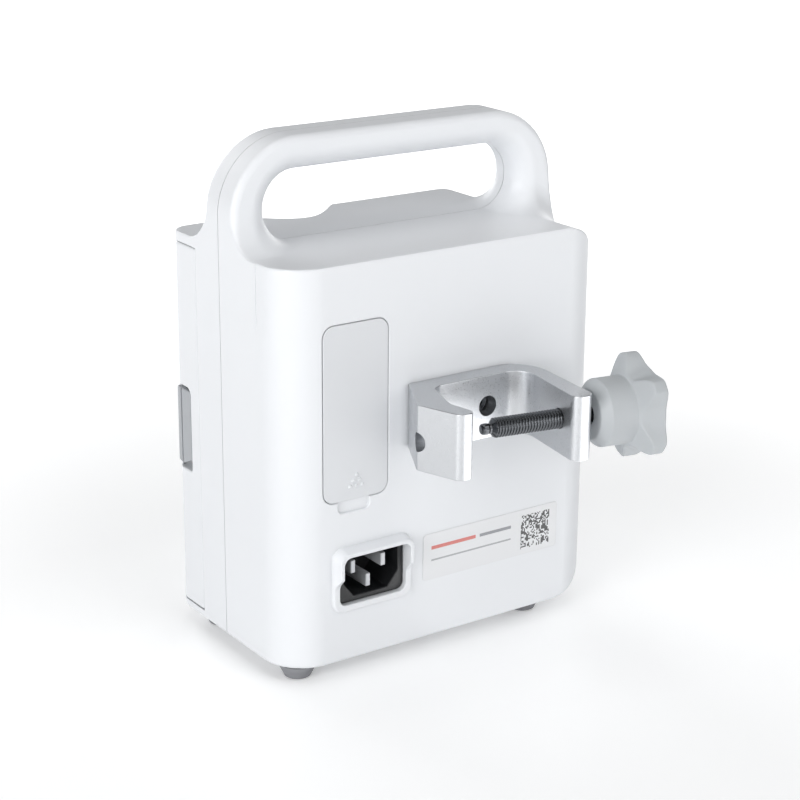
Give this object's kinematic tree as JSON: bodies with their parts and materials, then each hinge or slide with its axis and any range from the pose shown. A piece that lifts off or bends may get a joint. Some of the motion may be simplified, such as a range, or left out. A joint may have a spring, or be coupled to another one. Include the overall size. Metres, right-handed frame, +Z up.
{
  "type": "infusion pump",
  "caption": "Portable infusion pump: white two-shell housing with a loop carrying handle, hinged door over a finger pump, rear pole clamp with a star-knob screw, battery cover and mains inlet.",
  "frame": {"origin": "on the table plane, under the middle of the bounding box", "axes": "+Z up, the door faces -Y, the pole clamp +Y, +X to the right seen from the front"},
  "size_m": [0.1526, 0.1512, 0.208],
  "materials": {
    "housing_white": "satin moulded",
    "cover_white": "satin moulded",
    "foot_rubber": "matte",
    "steel": "satin",
    "dark_steel": "oiled",
    "clamp_aluminium": "bead blasted",
    "machined_aluminium": "machined",
    "brass": "satin",
    "black_plastic": "satin",
    "circuit_board": "solder mask",
    "label_film": "satin film",
    "battery_wrap": "shrink wrap",
    "belt_rubber": "matte",
    "knob_grey": "satin moulded",
    "latch_grey": "satin moulded",
    "screen": "polished",
    "display_frame": "satin",
    "inner_plate": "satin",
    "finger_plastic": "satin",
    "key_grey": "satin",
    "key_red": "satin",
    "key_green": "satin"
  },
  "bodies": {
    "housing": {"front_housing": "housing_white", "rear_housing": "housing_white", "foot_front_right": "foot_rubber", "foot_front_left": "foot_rubber", "foot_rear_right": "foot_rubber", "foot_rear_left": "foot_rubber", "battery_pack": "battery_wrap", "battery_contacts": "brass", "mains_inlet": "black_plastic", "inlet_pin_line": "steel", "inlet_pin_neutral": "steel", "inlet_pin_earth": "steel", "rating_label": "label_film", "clamp_bracket": "clamp_aluminium", "clamp_mount_screw_left": "dark_steel", "clamp_mount_screw_right": "dark_steel", "clamp_backing_plate": "steel", "chassis_plate": "steel", "main_board": "circuit_board", "power_board": "circuit_board", "speaker": "black_plastic", "pump_frame": "machined_aluminium", "camshaft_bearing_lower": "brass", "camshaft_bearing_upper": "brass", "stepper_motor": "black_plastic", "timing_belt": "belt_rubber", "air_bubble_sensor": "black_plastic", "pressure_sensor": "steel"},
    "cover": {"battery_cover": "cover_white"},
    "screw_tip": {"clamp_screw_tip": "dark_steel"},
    "screw": {"clamp_screw_rod": "dark_steel", "clamp_knob": "knob_grey"},
    "cams": {"camshaft": "steel", "camshaft_pulley": "machined_aluminium"},
    "rotor": {"motor_shaft_pulley": "steel"},
    "finger_1": {"pump_finger_1": "finger_plastic"},
    "finger_2": {"pump_finger_2": "finger_plastic"},
    "finger_3": {"pump_finger_3": "finger_plastic"},
    "finger_4": {"pump_finger_4": "finger_plastic"},
    "finger_5": {"pump_finger_5": "finger_plastic"},
    "finger_6": {"pump_finger_6": "finger_plastic"},
    "door": {"door_shell": "housing_white", "display_window": "screen", "display_module": "display_frame", "keypad_board": "circuit_board", "door_inner_plate": "inner_plate", "platen_spring": "steel", "door_hinge_pin_lower": "steel", "door_hinge_pin_upper": "steel", "door_latch_pin": "steel"},
    "latch": {"door_latch_handle": "latch_grey"},
    "pressure_plate": {"platen": "steel"},
    "button_menu": {"key_menu": "key_grey"},
    "button_up": {"key_up": "key_grey"},
    "button_bolus": {"key_bolus": "key_grey"},
    "button_down": {"key_down": "key_grey"},
    "button_stop": {"key_stop": "key_red"},
    "button_start": {"key_start": "key_green"},
    "button_power": {"key_power": "key_grey"}
  },
  "joints": [
    {"name": "door_hinge", "type": "hinge", "parent": "housing", "child": "door", "pos_m": [-0.072, -0.05663, 0.085], "axis": [0, 0, -1], "range_deg": [0, 95]},
    {"name": "latch_pivot", "type": "hinge", "parent": "door", "child": "latch", "pos_m": [0.0734, -0.07133, 0.085], "axis": [0, 0, -1], "range_deg": [0, 30]},
    {"name": "pressure_plate_slide", "type": "slide", "parent": "door", "child": "pressure_plate", "axis": [0, -1, 0], "range_m": [0, 0.001]},
    {"name": "press_menu", "type": "slide", "parent": "door", "child": "button_menu", "axis": [0, 1, 0], "range_m": [0, 0.0008]},
    {"name": "press_up", "type": "slide", "parent": "door", "child": "button_up", "axis": [0, 1, 0], "range_m": [0, 0.0008]},
    {"name": "press_bolus", "type": "slide", "parent": "door", "child": "button_bolus", "axis": [0, 1, 0], "range_m": [0, 0.0008]},
    {"name": "press_down", "type": "slide", "parent": "door", "child": "button_down", "axis": [0, 1, 0], "range_m": [0, 0.0008]},
    {"name": "press_stop", "type": "slide", "parent": "door", "child": "button_stop", "axis": [0, 1, 0], "range_m": [0, 0.0008]},
    {"name": "press_start", "type": "slide", "parent": "door", "child": "button_start", "axis": [0, 1, 0], "range_m": [0, 0.0008]},
    {"name": "press_power", "type": "slide", "parent": "door", "child": "button_power", "axis": [0, 1, 0], "range_m": [0, 0.0008]},
    {"name": "battery_cover_lift", "type": "hinge", "parent": "housing", "child": "cover", "pos_m": [0.04485, 0.01327, 0.1432], "axis": [1, 0, 0], "range_deg": [0, 18]},
    {"name": "camshaft_spin", "type": "hinge", "parent": "housing", "child": "cams", "pos_m": [0.018, -0.04673, 0.08], "axis": [0, 0, 1], "continuous": true},
    {"name": "motor_spin", "type": "hinge", "parent": "housing", "child": "rotor", "pos_m": [-0.022, -0.04423, 0.045], "axis": [0, 0, 1], "continuous": true},
    {"name": "finger_1_slide", "type": "slide", "parent": "housing", "child": "finger_1", "axis": [0, 1, 0], "range_m": [-0.0007, 0.0007]},
    {"name": "finger_2_slide", "type": "slide", "parent": "housing", "child": "finger_2", "axis": [0, 1, 0], "range_m": [-0.0007, 0.0007]},
    {"name": "finger_3_slide", "type": "slide", "parent": "housing", "child": "finger_3", "axis": [0, 1, 0], "range_m": [-0.0007, 0.0007]},
    {"name": "finger_4_slide", "type": "slide", "parent": "housing", "child": "finger_4", "axis": [0, 1, 0], "range_m": [-0.0007, 0.0007]},
    {"name": "finger_5_slide", "type": "slide", "parent": "housing", "child": "finger_5", "axis": [0, 1, 0], "range_m": [-0.0007, 0.0007]},
    {"name": "finger_6_slide", "type": "slide", "parent": "housing", "child": "finger_6", "axis": [0, 1, 0], "range_m": [-0.0007, 0.0007]},
    {"name": "clamp_screw_feed", "type": "slide", "parent": "housing", "child": "screw_tip", "axis": [0.9842, -0.1772, 0], "range_m": [-0.0221, 0.00375]},
    {"name": "clamp_screw_turn", "type": "hinge", "parent": "screw_tip", "child": "screw", "pos_m": [0, 0.04627, 0.1032], "axis": [0.9842, -0.1772, 0], "range_deg": [-6336, 1065.6]}
  ],
  "couplings": [
    {"joint": "motor_spin", "follows": "camshaft_spin", "ratio": 2},
    {"joint": "clamp_screw_feed", "follows": "clamp_screw_turn", "m_per_rad": 0.00019894}
  ]
}
